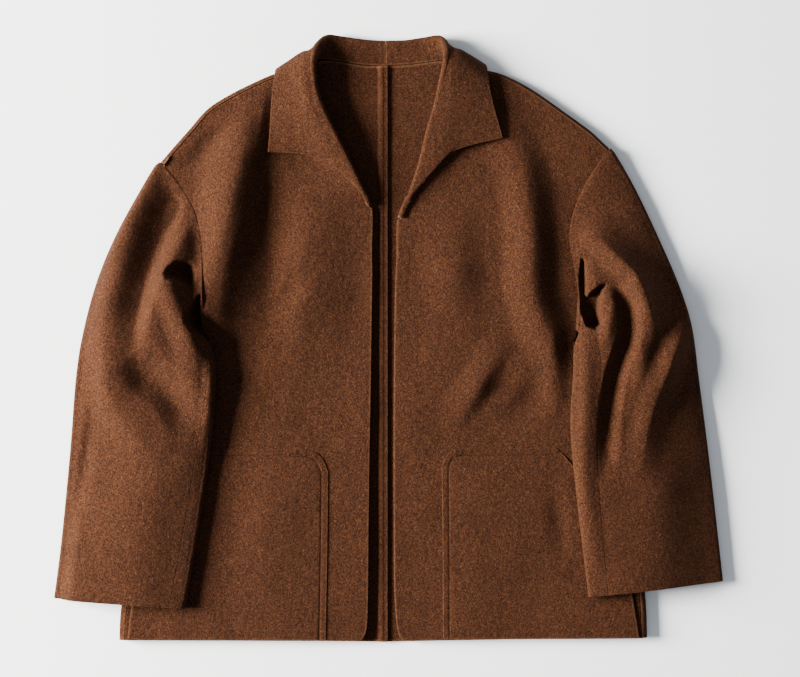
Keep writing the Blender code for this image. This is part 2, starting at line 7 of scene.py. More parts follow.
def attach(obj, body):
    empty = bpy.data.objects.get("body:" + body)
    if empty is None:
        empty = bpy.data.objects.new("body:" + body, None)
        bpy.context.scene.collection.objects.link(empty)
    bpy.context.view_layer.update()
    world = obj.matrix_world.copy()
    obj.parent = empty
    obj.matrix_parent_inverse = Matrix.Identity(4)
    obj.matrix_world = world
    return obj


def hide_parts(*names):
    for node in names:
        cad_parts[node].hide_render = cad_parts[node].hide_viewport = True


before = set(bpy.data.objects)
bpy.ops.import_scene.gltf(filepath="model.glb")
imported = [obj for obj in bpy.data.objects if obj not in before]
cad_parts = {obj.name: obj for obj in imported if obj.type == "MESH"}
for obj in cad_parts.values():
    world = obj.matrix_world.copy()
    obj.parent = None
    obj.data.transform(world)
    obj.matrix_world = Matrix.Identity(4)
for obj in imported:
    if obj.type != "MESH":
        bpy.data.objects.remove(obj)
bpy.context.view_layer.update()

MM = 0.001
SIDES = ("left", "right")
SIGN = {"left": -1.0, "right": 1.0}

WALL = 2.5
POCKET_WALL = 1.8
POCKET_PRESS = 1.2
POCKET_PRESS_REACH = 40.0
SEAM_GAP = 0.35
SIDE_GAP = 1.2
ARMHOLE_GAP = 0.35
UNDERARM_CLEAR = 3.0
LEVEL = 10.0
WRAP_RADIUS = LEVEL / 2
ROLL_RADIUS = 1.3
SIDE_SEAM_INSET = 6.0
SHOULDER_SEAM_INSET = 4.0
LEAF_COVER = 3.9
LEAF_COVER_START = 57.0
LEAF_COVER_RAMP = 45.0
LAP_EDGE = 1.1
LAP_UNDER = 6.8
LAP_CLEAR = 7.6
LAP_FOOT = 11.0
SLEEVE_EDGE = 10.0
SLEEVE_OVER_BODY = 13.7
SLEEVE_RAMP_START = 1.0
SLEEVE_RAMP = 17.0
SLEEVE_TOP_RAMP_START = -30.0
SLEEVE_TOP_RAMP = 105.0
UNDERARM_STOP = 0.965
UNDERARM_TUCK = 5.0
SEAM_TUCK = ((3.2, 2.8), (1.4, 0.6))
SEAM_JOIN = 26.0
HEAD_TUCK = 2.4
SEAM_PROUD = 0.9
LAYER_CLEAR = 0.8
NECK_REACH = 55.0
BREAK_SECTION = 8

# Lengths that the spacing of rows and columns is worked out from
PANEL_WIDTH = 250.0
LEAF_WIDTH = 90.0
BACK_SIDE_LENGTH = 336.0
BACK_ARMHOLE_LENGTH = 205.0
BACK_NECK_LENGTH = 72.0
BACK_SHOULDER_LENGTH = 196.0
POCKET_WIDTH = 180.0

# Counts of points on smooth curves
CURVE_POINTS = 20
FOLD_POINTS = 41
OUTLINE_POINTS = 200
ARMHOLE_POINTS = 120
SIDE_STITCH_POINTS = 40
POCKET_EDGE_POINTS = 90
POCKET_STITCH_POINTS = 120
FAR = 1e9
TINY = 1e-9

# Front panel: how its folds and waves fade towards the sleeve, the hem, the armhole and the side
COVER_START = 20.0
COVER_RAMP = 40.0
COVER_REACH = 26.0
HEM_Y = -321.0
HEM_RAMP = 60.0
HEM_SHARE = 0.55
HELD_SHARE = 0.25
HELD_START = 70.0
HELD_RAMP = 70.0
HELD_REACH = 24.0
FOLD_SIDE_LEAD = 12.0
FOLD_SIDE_RAMP = 40.0
WAVE_SIDE_RAMP = 24.0
WAVE_ARMHOLE_RAMP = 20.0
FRONT_WAVE_SEED = 3.0
SLEEVE_WAVE_SEED = 8.0

# Waves of the cloth: length along x and y, height, and what the seed is multiplied by
SLOW_WAVE = (62, 88, 1.5, 1.7)
QUICK_WAVE = (23, 29, 0.45, 2.3)

# Front panel: rows over which its edge takes the shoulder's form, and its folded lapel
SHOULDER_START_ROW = 6
SHOULDER_BLEND_ROWS = 1.2
SHOULDER_BLEND_POWER = 6
GUIDE_STEPS = 13
ROLL_REACH = 67.5
ROLL_STEPS = 7
LAPEL_TURN_SHARE = 0.35

# Back panel: its cover of the collar leaf, its wrap and the rows that lean to the shoulder
LEAF_UNDER_ROW = 7
LEAF_COVER_OUT = 150.0
LEAF_COVER_FADE = 28.0
WRAP_ANGLES = (22.5, 45, 67.5, 90, 112.5, 135, 157.5, 180)
BULGE_START = 0.45
SIDE_PULL_START = 0.75
TOP_PULL_ROWS = 30
LAP_COLUMNS = {
    "left": (LAP_EDGE, 2.3, 3.3, 4.2, 5.0, 5.8, 6.6, LAP_CLEAR, 8.4, 9.3, 10.2, LAP_FOOT),
    "right": (-LAP_UNDER, -5.5, -4.0),
}

# Sleeve: the ring at its head, the spread of points round a ring and the fade of folds at the cuff
HEAD_RING = (1.0, 0.0, 7.0)
PUFF_POWER = 0.8
SEAM_FINE = (0.0, 1.1, 1.4)
UNDERLAP_POINTS = 12
TURN_POINTS = 13
LOWER_POINTS = 37
UPPER_POINTS = 104
CROWDING = 0.5
JOIN_RAMP = 30.0
CUFF_RAMP = 30.0

SHOULDER = {
    "left": ((82, 293), (102, 286), (123, 280), (141, 272.5), (167, 259.7), (192, 243.8),
             (212, 221.5), (227, 204.5), (242, 187)),
    "right": ((74, 296), (90, 289), (106, 284), (122, 279.5), (150, 265.7), (182, 243.8),
              (214, 220.5), (225, 210.5), (235, 201)),
}
ARMHOLE = {
    "left": ((242, 187), (225, 167.5), (206.5, 138), (198.5, 107), (196, 74), (195.5, 40), (193.5, 0)),
    "right": ((235, 201), (213.5, 171), (198, 138), (192.5, 107), (197, 78), (202, 42), (199, 0)),
}
SIDE = {
    "left": ((193.5, 0), (237, -108), (269.8, -224.7), (283.6, -282), (286.3, -320.5)),
    "right": ((199, 0), (237, -108), (263.5, -219), (272.5, -269), (275, -318)),
}
FRONT_SECTIONS = {
    #  outer y,  guide q, y,  edge q, y, z,  turn
    "left": (
        (-320.8, 57, -321.4, 29.0, -321.4, 10, 0),
        (-307, 52, -308, 23.6, -309, 10, 0),
        (-281, 50, -280, 22.0, -278, 10, 0),
        (-223, 50, -200, 21.2, -190, 10, 0),
        (-107, 48, -108, 20.0, -108, 10, 0),
        (-50, 48, -50, 19.0, -50, 10, 0),
        (0, 48, 10, 18.0, 20, 10, 0),
        (40, 52, 75, 17.6, 85, 10, 0),
        (82, 60, 139, 21.5, 139.5, 12, 0),
        (112, 70, 165, 30.0, 160, 15.5, 0),
        (138, 80, 190, 43.0, 187, 18, 0),
        (152, 88, 215, 56.7, 214, 20.5, 0),
        (167.5, 93, 240, 70.0, 241, 23, 4),
        (177, 89, 265, 77.6, 263, 25, 25),
    ),
    "right": (
        (-318.6, 42, -320.4, 16.4, -321.0, 10, 0),
        (-306, 38, -308, 9.8, -311, 10, 0),
        (-268, 34, -270, 6.5, -271, 10, 0),
        (-218, 33, -190, 5.6, -190, 10, 0),
        (-107, 33, -108, 5.4, -108, 10, 0),
        (-50, 34, -50, 5.6, -50, 10, 0),
        (0, 36, 10, 6.5, 20, 10, 0),
        (42, 40, 70, 8.2, 80, 10, 0),
        (68, 50, 125, 13.5, 127, 12, 0),
        (92, 62, 155, 24.5, 153, 13, 0),
        (118, 71, 185, 35.0, 184, 15, 0),
        (138, 79, 215, 43.5, 219, 17, 0),
        (156, 82, 240, 51.4, 246, 19, 4),
        (180, 78, 266, 57.0, 272, 21, 25),
    ),
}
NECK_SECTIONS = {
    #  seam q, y, z,  roll q, y, z,  turn
    "left": (
        (80.3, 289.0, 10.0, 80.0, 287, 26, 62),
        (77.0, 296.5, 8.5, 78.5, 298, 24.5, 95),
        (71.0, 298.3, 6.0, 75.0, 308.5, 19, 130),
        (62.0, 296.6, 4.8, 65.0, 317.9, 11, 160),
        (48.0, 294.2, 4.3, 50.0, 317.0, 6.2, 178),
        (25.0, 290.7, 4.3, 25.0, 313.6, 5.4, 180),
        (3.4, 290.3, 4.3, 3.4, 312.2, 5.4, 180),
    ),
    "right": (
        (71.8, 292.2, 10.0, 60.5, 290, 22.5, 62),
        (66.5, 297.0, 8.5, 61.5, 301, 21.5, 95),
        (60.0, 297.4, 6.0, 60.0, 310.5, 17, 130),
        (50.0, 295.6, 4.8, 53.5, 317.3, 11, 160),
        (36.0, 293.3, 4.3, 38.0, 315.8, 6.2, 178),
        (18.0, 291.2, 4.3, 18.0, 313.0, 5.4, 180),
        (-3.0, 290.3, 4.3, -3.0, 312.4, 5.4, 180),
    ),
}
LEAF_SECTIONS = {
    "left": (
        (51.4, 174.3, 14.5, 84, 193.5, 12.8, 128.0, 197.2, 11.6),
        (58, 184, 16.0, 90, 202, 13.4, 127.2, 204, 11.7),
        (66, 199, 18.0, 94, 213, 14.5, 126.1, 215, 11.8),
        (76, 221, 20.5, 98, 229, 16.0, 125.0, 230, 12.0),
        (84, 243, 23.0, 102, 247, 17.5, 123.6, 247, 12.4),
        (89, 266, 25.0, 104, 266, 19.0, 122.0, 262, 13.2),
        (90, 288, 24.5, 103, 284, 18.5, 120.0, 275, 13.8),
        (91, 300.5, 16.5, 106, 291.5, 11.5, 117.8, 284.6, 6.5),
        (86, 300, 7.0, 99, 291, 4.0, 111.0, 280.5, 3.2),
        (70, 302, 3.4, 82, 290, 3.1, 92.0, 276, 3.0),
        (52, 301, 3.1, 56, 286, 3.0, 60.0, 270, 3.0),
        (25.5, 298, 3.0, 27, 283, 3.0, 28.0, 267, 3.0),
        (3.4, 297, 3.0, 3.4, 281, 3.0, 3.4, 265, 3.0),
    ),
    "right": (
        (36, 167.0, 14.6, 66, 197.0, 15.2, 120.7, 212.0, 15.0),
        (48, 180, 16.0, 76, 206, 16.2, 119.0, 218, 15.6),
        (56, 201, 17.5, 80, 216, 17.2, 116.6, 226, 16.0),
        (64, 226, 19.5, 83, 232, 18.6, 113.6, 236, 16.4),
        (67, 249, 21.4, 84, 250, 20.0, 110.4, 248, 16.6),
        (69, 273, 22.8, 85, 270, 20.6, 107.0, 262, 16.8),
        (72, 291, 22.4, 87, 286, 19.5, 104.6, 276, 16.0),
        (76, 302.5, 16.5, 90, 295.5, 11.5, 102.0, 288.6, 6.5),
        (72, 303, 7.0, 84, 293, 4.0, 96.0, 283.0, 3.2),
        (57, 302, 3.4, 68, 290, 3.1, 77.0, 277, 3.0),
        (40, 300, 3.1, 44, 286, 3.0, 47.0, 271, 3.0),
        (18, 298, 3.0, 19, 283, 3.0, 20.0, 267, 3.0),
        (-3.0, 297, 3.0, -3.0, 281, 3.0, -3.0, 265, 3.0),
    ),
}
# The lapel's lower edge at the break: its move in plan and how far the fold sinks there
BREAK_SINK = 1.6
LAPEL_CORNER = {"left": (-4.5, 4.0), "right": (-4.0, 8.0)}
BACK_NECK = {
    "left": ((13.5, 289.5), (25, 289.7), (48, 293.0), (62, 294.8), (72, 294.5), (82, 293)),
    "right": ((-4.0, 289.5), (18, 290.1), (36, 292.2), (50, 294.2), (63, 295.3), (74, 296)),
}
BACK_HEM = -323.0
BACK_NECK_CENTRE = 289.5
SLEEVE_RINGS = {
    #  outer q, y,  inner q, y,  bow,  puff,  seam from the inner edge
    "left": (
        (248.0, 183.5, 197.0, 5.5, 0.93, 2.0, 8),
        (263.4, 158, 195.5, 2.5, 0.72, 8.0, 9),
        (289, 111, 193.0, -1.0, 0.48, 13.0, 10),
        (309, 63.6, 188.5, -7.0, 0.28, 16.0, 11),
        (323.8, 10.6, 184.5, -17.0, 0.14, 17.0, 9),
        (332.3, -40.3, 181.9, -37.0, 0.05, 15.0, 8),
        (338.7, -120.8, 187.1, -108, 0.0, 11.0, 13.5),
        (347.7, -214, 201.9, -212, 0.0, 8.0, 15.5),
        (355.6, -276.1, 215.2, -285.7, 0.0, 6.0, 16),
    ),
    "right": (
        (240.1, 197.5, 201.8, 5.5, 0.93, 2.0, 8),
        (262.4, 158.5, 200.5, 2.5, 0.72, 8.0, 11),
        (288.3, 104, 199.0, -1.0, 0.48, 13.0, 16),
        (310.1, 53, 197.0, -6.0, 0.28, 16.0, 22),
        (322.8, 10.6, 195.6, -15, 0.14, 17.0, 27),
        (330.2, -44.5, 195.2, -36, 0.05, 15.0, 29),
        (339.7, -118.7, 192.4, -98, 0.0, 11.0, 28),
        (349.3, -201.4, 199.8, -177, 0.0, 8.0, 24),
        (355.6, -258.1, 211.5, -273.5, 0.0, 6.0, 20),
    ),
}
POCKET_SECTIONS = {
    #  inner q, y,  outer q, y
    "left": (
        (66.8, -320.2, 277.0, -319.8),
        (65.2, -233, 262.5, -233),
        (64.3, -151, 220.0, -158),
        (65.4, -139.5, 206.0, -142),
        (70.2, -128.6, 196.0, -130),
        (78.6, -121.4, 187.5, -121.6),
        (92.0, -118.4, 181.0, -117.4),
    ),
    "right": (
        (57.8, -319.6, 265.5, -317.6),
        (57.6, -233, 250.0, -238),
        (56.7, -146, 213.5, -156),
        (57.6, -134.5, 200.0, -141),
        (61.2, -125.4, 190.0, -129),
        (67.6, -119.8, 182.5, -121.2),
        (78.0, -117.9, 176.5, -116.5),
    ),
}

# Folds: a line of x, y places walked downwards, the reach on its -X side and on its +X side, heights
# at even steps along it and, on some, how crisp the +X side is
FRONT_FOLDS = {
    "left": (
        # ridge beside the armhole
        (((-147, 240), (-151, 215), (-156, 189), (-163, 159), (-169, 130), (-175, 100), (-180, 75),
          (-186, 50), (-191, 25), (-195, 0)),
         48, (34, 35, 40, 54, 68, 64), (3, 12, 17, 19, 20, 21, 22, 22, 19, 0), 0.1),
        # swell of the chest
        (((-75, 173), (-83, 104), (-92, 30), (-92, -34)), 42, 64, (0, 8, 9, 0)),
        # dip along the leaf's lower edge
        (((-128, 198), (-103, 194), (-78, 191), (-66, 185), (-51, 174), (-37, 163), (-24, 152)), 14, 6,
         (-1.5, -2.5, -3, -4, -4, -3.5, -1)),
        # dip along the leaf's outer edge
        (((-121, 275), (-124, 235), (-129, 196)), 11, 6, (-1, -3, -2)),
        # shoulder trough
        (((-155, 246), (-179, 216), (-217, 178)), 15, 17, (0, -4, -1)),
        # low slant
        (((-75, 85), (-104, 49), (-134, 17)), 15, 21, (0, -3, 0)),
        # hollow beside the sleeve
        (((-124, 200), (-126, 150), (-146, 90), (-158, 40), (-163, -10), (-160, -80)), 22, 44,
         (0, -3, -4, -4, -4, -3, 0)),
        # lower swell
        (((-120, -140), (-128, -214), (-128, -288)), 42, 47, (0, 3, 1)),
    ),
    "right": (
        # ridge of the chest
        (((127, 215), (144, 167), (151, 104), (154, 40), (182, -23), (192, -87)),
         36, 32, (3, 11, 14, 13, 9, 0)),
        # middle swell
        (((63, 146), (72, 72), (78, -13)), 47, 34, (0, 7, 0)),
        # slant below the chest
        (((125, 0), (97, -50), (63, -98)), 28, 17, (0, 7, 0)),
        # low patch
        (((169, -13), (150, -64), (97, -108)), 19, 28, (0, -3.5, 0)),
        # hollow beside the sleeve
        (((178, -140), (184, -193), (186, -246)), 21, 17, (0, -3, 0)),
    ),
}
SLEEVE_FOLDS = {
    "left": (
        # inner crest
        (((-190, 151), (-199, 131), (-213, 106), (-227, 81), (-240, 51), (-248, 21), (-251, -6),
          (-252, -25)), 19, 46, (2, 5, 10, 14, 16, 13, 6, 0)),
        # valley between the crests
        (((-216, 165), (-230, 135), (-246, 100), (-259, 62), (-266, 25), (-270, -5)), 38, 15,
         (-6, -12, -12, -10, -6, 0)),
        # outer crest
        (((-255, 112), (-282, 66), (-298, 21), (-299, -25), (-291, -70), (-263, -100), (-229, -121)),
         28, 36, (0, 6, 9, 10, 9, 6, 0)),
        # elbow hollow
        (((-272, -20), (-254, -42), (-230, -62), (-208, -100)), 24, 32, (0, -9, -11, -8, 0)),
        # upper mass
        (((-226, 55), (-216, 25), (-207, 0), (-200, -30), (-196, -55)), 26, 20, (8, 13, 12, 5, 0)),
        # inner roll
        (((-198, -6), (-186, -25), (-187, -66), (-196, -129)), 13, 15, (0, 5, 3, 0)),
        # lift of the upper outer edge
        (((-245, 178), (-268, 138), (-289, 95), (-303, 50)), 12, 44, (3, 8, 9, 3)),
        # swell along the outer edge
        (((-314, -110), (-325, -200), (-337, -310)), 18, 54, (0, 7, 9)),
        # outer trough
        (((-310, -49), (-323, -140), (-333, -204)), 8, 14, (0, -3, 0)),
        # forearm swell
        (((-272, -108), (-276, -182), (-282, -257)), 49, 53, (0, 5, 2)),
    ),
    "right": (
        # upper crest
        (((201, 106), (222, 104), (237, 90), (251, 77), (261, 67), (269, 51), (275, 35), (281, 15),
          (290, -8)), 21, 30, (2, 8, 12, 15, 16, 15, 13, 9, 0), 0.7),
        # outer crest
        (((322, 36), (313, 11), (305, -11), (294, -38), (281, -70), (271, -108), (264, -160)), 23, 24,
         (2, 10, 13, 11, 7, 3, 0), 0.5),
        # hollow beside the seam
        (((209, 100), (205, 78), (206, 53), (211, 40)), 10, 12, (0, -3, -3, 0)),
        # band beside the arc
        (((256, 51), (267, 8), (267, -34), (260, -87)), 15, 21, (4, 6, 5, 0)),
        # arc
        (((231, 55), (241, 52), (251, 40), (254, 21), (252, 0), (245, -21), (238, -45), (232, -87),
          (229, -151)), 14, 15, (-3, -8, -11, -12, -12, -10, -8, -5, 0)),
        # ridge inside the arc
        (((235, 47), (234, 28), (231, 8), (226, -13)), 12, 12, (2, 4, 4, 0)),
        # inner roll
        (((207, -4), (207, -66), (205, -140), (218, -235)), 13, 17, (3, 5, 4, 2)),
        # forearm swell
        (((288, -76), (292, -161), (298, -246)), 49, 47, (0, 5, 2)),
    ),
}
# Deep folds of the sleeves: an outline of x, y places, the depth and the width of its wall
SLEEVE_PITS = {
    "left": (
        # hollow under the inner crest
        (((-239, 68), (-233, 77), (-223, 83), (-212, 84), (-204, 79), (-201, 67), (-202, 55), (-206, 50),
          (-209, 52), (-215, 55), (-224, 57), (-234, 60)), 18, 11),
        # deep fold at the underarm
        (((-205, 41), (-197, 51), (-193, 30), (-187, 8), (-185, -11), (-193, -3), (-201, 2), (-209, 7),
          (-215, 16), (-215, 25), (-210, 34)), 23, 7),
    ),
    "right": (
        # deep fold at the underarm
        (((203, 86), (209, 84), (211, 62), (211, 47), (216, 52), (224, 57), (233, 59), (228, 50), (225, 30),
          (228, 13), (219, 7), (208, 11), (203, 26), (201, 45), (201, 66)), 22, 7),
    ),
}

# Seams
STITCH_INSET = 7.0
GROOVE_WIDTH = 1.1
STITCH_SINK = 0.7
SIDE_STITCH_INSET = 12.5
LAP_STITCH = 5.2
NO_STITCH = 50.0
NECK_ALLOWANCE_RISE = 1.6

# Cut edges: their bevel, and the painted highlight that makes them paler
EDGE_BEVEL = 1.1
EDGE_SEGMENTS = 2
EDGE_ANGLE = 70
EDGE_HIGHLIGHT_SHARE = 0.7
RAW_LINE_HIGHLIGHT_SHARE = 0.5

# Mesh steps, in millimetres
STEP = 2.6
SLEEVE_STEPS = (2.4, 2.2, 1.8, 1.4, 1.3, 1.6, 2.4, 2.8, 2.8)
FINE_EDGE = (0.0, 1.2, 2.6, 4.2)
FINE_SIDE = (0.0, 1.2, 2.2, 3.2, 4.0, 4.7, 5.2, 5.8, 6.6, 8.0)
FINE_STITCH = (0.0, 1.2, 2.2, 3.8, 5.2, 6.0, 6.6, 7.0, 7.4, 8.0, 8.8, 10.0)
POCKET_STEPS = (STEP, STEP, 1.0, 0.8, 0.8, 1.0)

# Felt. The ground's colours along its clumps
BLACK = (0.0, 0.0, 0.0)
WHITE = (1.0, 1.0, 1.0)
GROUND = ((0.34, (0.0085, 0.0029, 0.0019)), (0.46, (0.0200, 0.0060, 0.0027)),
          (0.54, (0.0320, 0.0098, 0.0041)), (0.66, (0.0600, 0.0220, 0.0094)))
# Paler colours of the painted highlight on the cut edges
HIGHLIGHT_COLOURS = ((0.3, (0.072, 0.0280, 0.0120)), (0.7, (0.165, 0.072, 0.031)))
MOTTLE = ((0.25, (0.40, 0.40, 0.40)), (0.75, (0.60, 0.60, 0.60)))
GROOVE_SHADE = ((0.0, WHITE), (1.0, (0.35, 0.30, 0.30)))
# Fibres, in the order in which they lie: scale, turn, where they start and stop, two colours, share
FIBRES = {
    "umber": (1000.0, 1.9, 0.54, 0.64, (0.0040, 0.0022, 0.0020), (0.0060, 0.0028, 0.0022), 0.38),
    "russet": (1250.0, -0.6, 0.55, 0.64, (0.052, 0.0132, 0.0034), (0.064, 0.0170, 0.0045), 0.50),
    "ochre": (1150.0, 0.5, 0.56, 0.64, (0.120, 0.052, 0.019), (0.150, 0.066, 0.024), 0.42),
}
FIBRE_STRETCH = (1.0, 0.6, 1.0)
FIBRE_WARP = 1.5
CLUMP_SCALE = 720.0
MOTTLE_SCALE = 38.0
DENT_SCALE = 160.0
# Relief of the nap and of the slow dents: shares of the noises, strength and depth in metres
CLUMP_RELIEF = 1.2
RUSSET_RELIEF = 0.8
NAP_RELIEF = (0.75, 0.0007)
DENT_RELIEF = (0.5, 0.0022)


def smooth_rows(table, rows):
    """Rows of a table, read at fractional row numbers on a smooth curve."""
    table = np.asarray(table, float)
    rows = np.clip(np.asarray(rows, float), 0, len(table) - 1)
    start = np.minimum(rows.astype(int), len(table) - 2)
    part = (rows - start)[:, None]
    before = table[np.maximum(start - 1, 0)]
    here = table[start]
    after = table[start + 1]
    beyond = table[np.minimum(start + 2, len(table) - 1)]
    leave = (after - before) / 2
    arrive = (beyond - here) / 2
    square = part * part
    cube = square * part
    return (here * (2 * cube - 3 * square + 1) + leave * (cube - 2 * square + part)
            + after * (3 * square - 2 * cube) + arrive * (cube - square))


def row_numbers(table, columns, steps):
    """Fractional row numbers about a step apart along a table's points: one step, or one for each row."""
    points = np.asarray(table, float)[:, columns]
    numbers = []
    steps = np.broadcast_to(steps, len(points) - 1)
    for row, length in enumerate(np.linalg.norm(np.diff(points, axis=0), axis=1)):
        count = max(1, int(round(length / steps[row])))
        numbers += list(row + np.arange(count) / count)
    return np.array(numbers + [len(points) - 1.0])


def along(points, fractions):
    """Points at fractions of the length of a smooth line."""
    points = np.asarray(points, float)
    fine = smooth_rows(points, np.linspace(0, len(points) - 1, CURVE_POINTS * len(points)))
    steps = np.linalg.norm(np.diff(fine, axis=0), axis=1)
    travelled = np.concatenate(([0.0], np.cumsum(steps)))
    wanted = np.asarray(fractions, float) * travelled[-1]
    return np.stack([np.interp(wanted, travelled, column) for column in fine.T], axis=1)


def ease(value):
    """A soft step from 0 to 1."""
    value = np.clip(value, 0.0, 1.0)
    return value * value * (3 - 2 * value)


def stops(length, step, start=(0.0,), end=(0.0,)):
    """Shares of a length, with fine steps at its ends and even ones between."""
    first = start[-1]
    last = length - end[-1]
    count = max(1, int(round((last - first) / step)))
    places = list(start[:-1]) + list(np.linspace(first, last, count + 1))
    places += [length - place for place in end[-2::-1]]
    return np.array(places) / length


def line_distance(x, y, points, smooth=True):
    """Distance of each place to a line, its share of the length, and +1 on the +X side of a walk down."""
    line = along(points, np.linspace(0, 1, FOLD_POINTS)) if smooth else np.asarray(points, float)
    step = np.diff(line, axis=0)
    size = np.hypot(step[:, 0], step[:, 1])
    travelled = np.concatenate(([0.0], np.cumsum(size)))
    best = np.full(x.shape, FAR)
    place = np.zeros(x.shape)
    side = np.ones(x.shape)
    for number in range(len(step)):
        dx = x - line[number, 0]
        dy = y - line[number, 1]
        share = np.clip((dx * step[number, 0] + dy * step[number, 1]) / size[number] ** 2, 0, 1)
        gap = np.hypot(dx - share * step[number, 0], dy - share * step[number, 1])
        nearer = gap < best
        best = np.where(nearer, gap, best)
        place = np.where(nearer, (travelled[number] + share * size[number]) / travelled[-1], place)
        turn = step[number, 0] * dy - step[number, 1] * dx
        side = np.where(nearer, np.where(turn >= 0, 1.0, -1.0), side)
    return best, place, side


def spread(values, place):
    """A value, or values at even steps along a line, read at shares of its length."""
    values = np.atleast_1d(values)
    return np.interp(place, np.linspace(0, 1, len(values)), values)


def fold_height(x, y, folds):
    """Height that soft folds add at each place."""
    height = np.zeros_like(x)
    for points, reach_low, reach_high, heights, *crisp in folds:
        gap, place, side = line_distance(x, y, points)
        reach = np.where(side > 0, spread(reach_high, place), spread(reach_low, place))
        rise = spread(heights, place)
        nearness = np.clip(1 - gap / reach, 0, 1)
        share = sum(crisp) * (side > 0)
        height += rise * (ease(nearness) * (1 - share) + nearness ** 2 * share)
    return height


def inside_outline(x, y, outline):
    """1 inside a closed outline and 0 outside it."""
    inside = np.zeros(x.shape, bool)
    for (ax, ay), (bx, by) in zip(outline, outline[1:] + outline[:1]):
        crosses = (ay > y) != (by > y)
        inside ^= crosses & (x < (bx - ax) * (y - ay) / (by - ay + TINY) + ax)
    return inside


def pit_height(x, y, pits):
    """Height that deep folds take away at each place."""
    height = np.zeros_like(x)
    for outline, depth, wall in pits:
        gap = line_distance(x, y, outline + outline[:1], smooth=False)[0]
        height -= depth * ease(gap / wall) * inside_outline(x, y, outline)
    return height


def unevenness(x, y, seed):
    """Slight waves of thick cloth that was laid down by hand."""
    values = np.empty(x.shape)
    flat = values.ravel()
    slow_x, slow_y, slow_height, slow_seed = SLOW_WAVE
    quick_x, quick_y, quick_height, quick_seed = QUICK_WAVE
    for number, (px, py) in enumerate(zip(x.ravel(), y.ravel())):
        slow = noise.noise(Vector((px / slow_x + seed, py / slow_y, seed * slow_seed)))
        quick = noise.noise(Vector((px / quick_x, py / quick_y + seed, seed * quick_seed)))
        flat[number] = slow_height * slow + quick_height * quick
    return values


def inside_sleeve_edge(side, q, y):
    """1 where a front panel lies bare, falling to 0 before the sleeve covers it."""
    rings = np.asarray(SLEEVE_RINGS[side])
    edge_q = np.interp(-y, -rings[:, 3], rings[:, 2])
    below = ease((COVER_START - y) / COVER_RAMP)
    return 1 - below * ease((q - edge_q + COVER_REACH) / COVER_REACH)


def front_height(side, q, y):
    """Height of the outer face of a front panel."""
    sections = np.asarray(FRONT_SECTIONS[side])[BREAK_SECTION:]
    gap = line_distance(q, y, sections[:, 3:5])[0]
    roll_height = np.interp(y, sections[:, 4], sections[:, 5]) - ROLL_RADIUS - LEVEL
    neck = np.where(y > sections[0, 4], roll_height, 0.0) * np.clip(1 - gap / NECK_REACH, 0, 1) ** 2
    folds = fold_height(SIGN[side] * q, y, FRONT_FOLDS[side]) * inside_sleeve_edge(side, q, y)
    side_gap = line_distance(q, y, SIDE[side])[0]
    armhole_gap = line_distance(q, y, ARMHOLE[side])[0]
    hem = HEM_SHARE + (1 - HEM_SHARE) * ease((y - HEM_Y) / HEM_RAMP)
    held = 1 - HELD_SHARE * ease((y - HELD_START) / HELD_RAMP) * (1 - ease(armhole_gap / HELD_REACH))
    folds *= ease((side_gap + FOLD_SIDE_LEAD) / FOLD_SIDE_RAMP) * hem * held
    waves = unevenness(q, y, FRONT_WAVE_SEED + SIGN[side])
    waves *= ease(side_gap / WAVE_SIDE_RAMP) * ease(armhole_gap / WAVE_ARMHOLE_RAMP)
    return LEVEL + neck + (folds + waves)


def rightward(line):
    """Level directions to the right of a line, as seen while walking along it."""
    ahead = np.gradient(line, axis=0)
    ahead /= np.linalg.norm(ahead, axis=1)[:, None]
    return np.stack([ahead[:, 1], -ahead[:, 0]], axis=1)


def inset_line(points, inset, fractions):
    """A line moved to its right-hand side."""
    places = along(points, fractions)
    return places + inset * rightward(places)


def front_outline(side, heights):
    """Outer edge of a front panel, at the side seam and the armhole seam."""
    seam = inset_line(SIDE[side][::-1], -SIDE_SEAM_INSET - SIDE_GAP, np.linspace(0, 1, OUTLINE_POINTS))
    seam = seam[seam[:, 1] < -UNDERARM_CLEAR]
    armhole = along(ARMHOLE[side][::-1], np.linspace(0, 1, OUTLINE_POINTS))
    corner = [[seam[-1, 0] + UNDERARM_TUCK, 0.0]]
    outline = np.vstack([seam, corner, armhole[armhole[:, 1] > 4 * UNDERARM_CLEAR]])
    return np.stack([np.interp(heights, outline[:, 1], outline[:, 0]), heights], axis=1)


